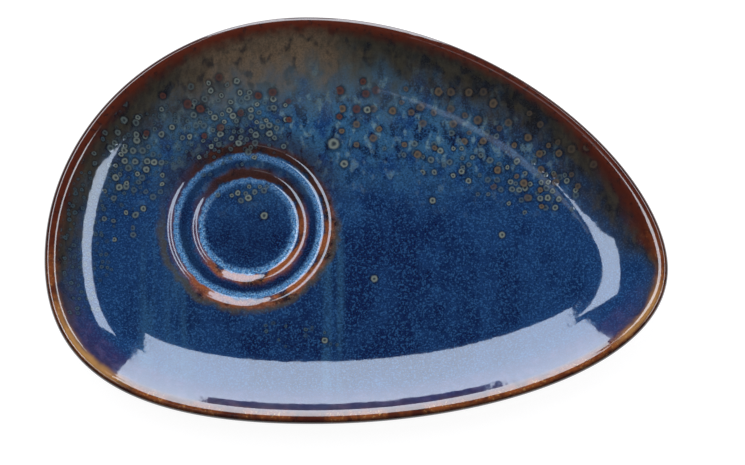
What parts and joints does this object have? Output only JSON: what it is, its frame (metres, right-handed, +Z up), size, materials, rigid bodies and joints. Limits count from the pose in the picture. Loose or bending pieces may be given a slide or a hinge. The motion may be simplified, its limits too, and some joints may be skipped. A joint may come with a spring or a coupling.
{
  "type": "saucer",
  "caption": "Egg-shaped glazed stoneware saucer with a curved wall, a stepped double cup well towards the blunt end, a flat floor for a snack and an unglazed foot ring.",
  "frame": {"origin": "on the standing plane of the foot ring, in the middle of the outline's box", "axes": "+X from the blunt heel, where the cup stands, to the pointed tip, +Y to the far side, +Z up"},
  "size_m": [0.25, 0.169, 0.02],
  "materials": {
    "stoneware": "fired clay, hidden under the coats",
    "bare_foot": "bare fired clay, rubbed smooth",
    "blue_glaze": "glossy reactive glaze, deep blue with olive and brown where it runs thin",
    "brown_band": "glossy red-brown coat, thin over the lip",
    "dark_glaze": "glossy dark blue coat"
  },
  "bodies": {
    "root": {"clay_body": "stoneware", "foot_ring": "bare_foot", "face_glaze": "blue_glaze", "rim_band": "brown_band", "back_glaze": "dark_glaze", "foot_well_glaze": "dark_glaze"}
  },
  "joints": []
}
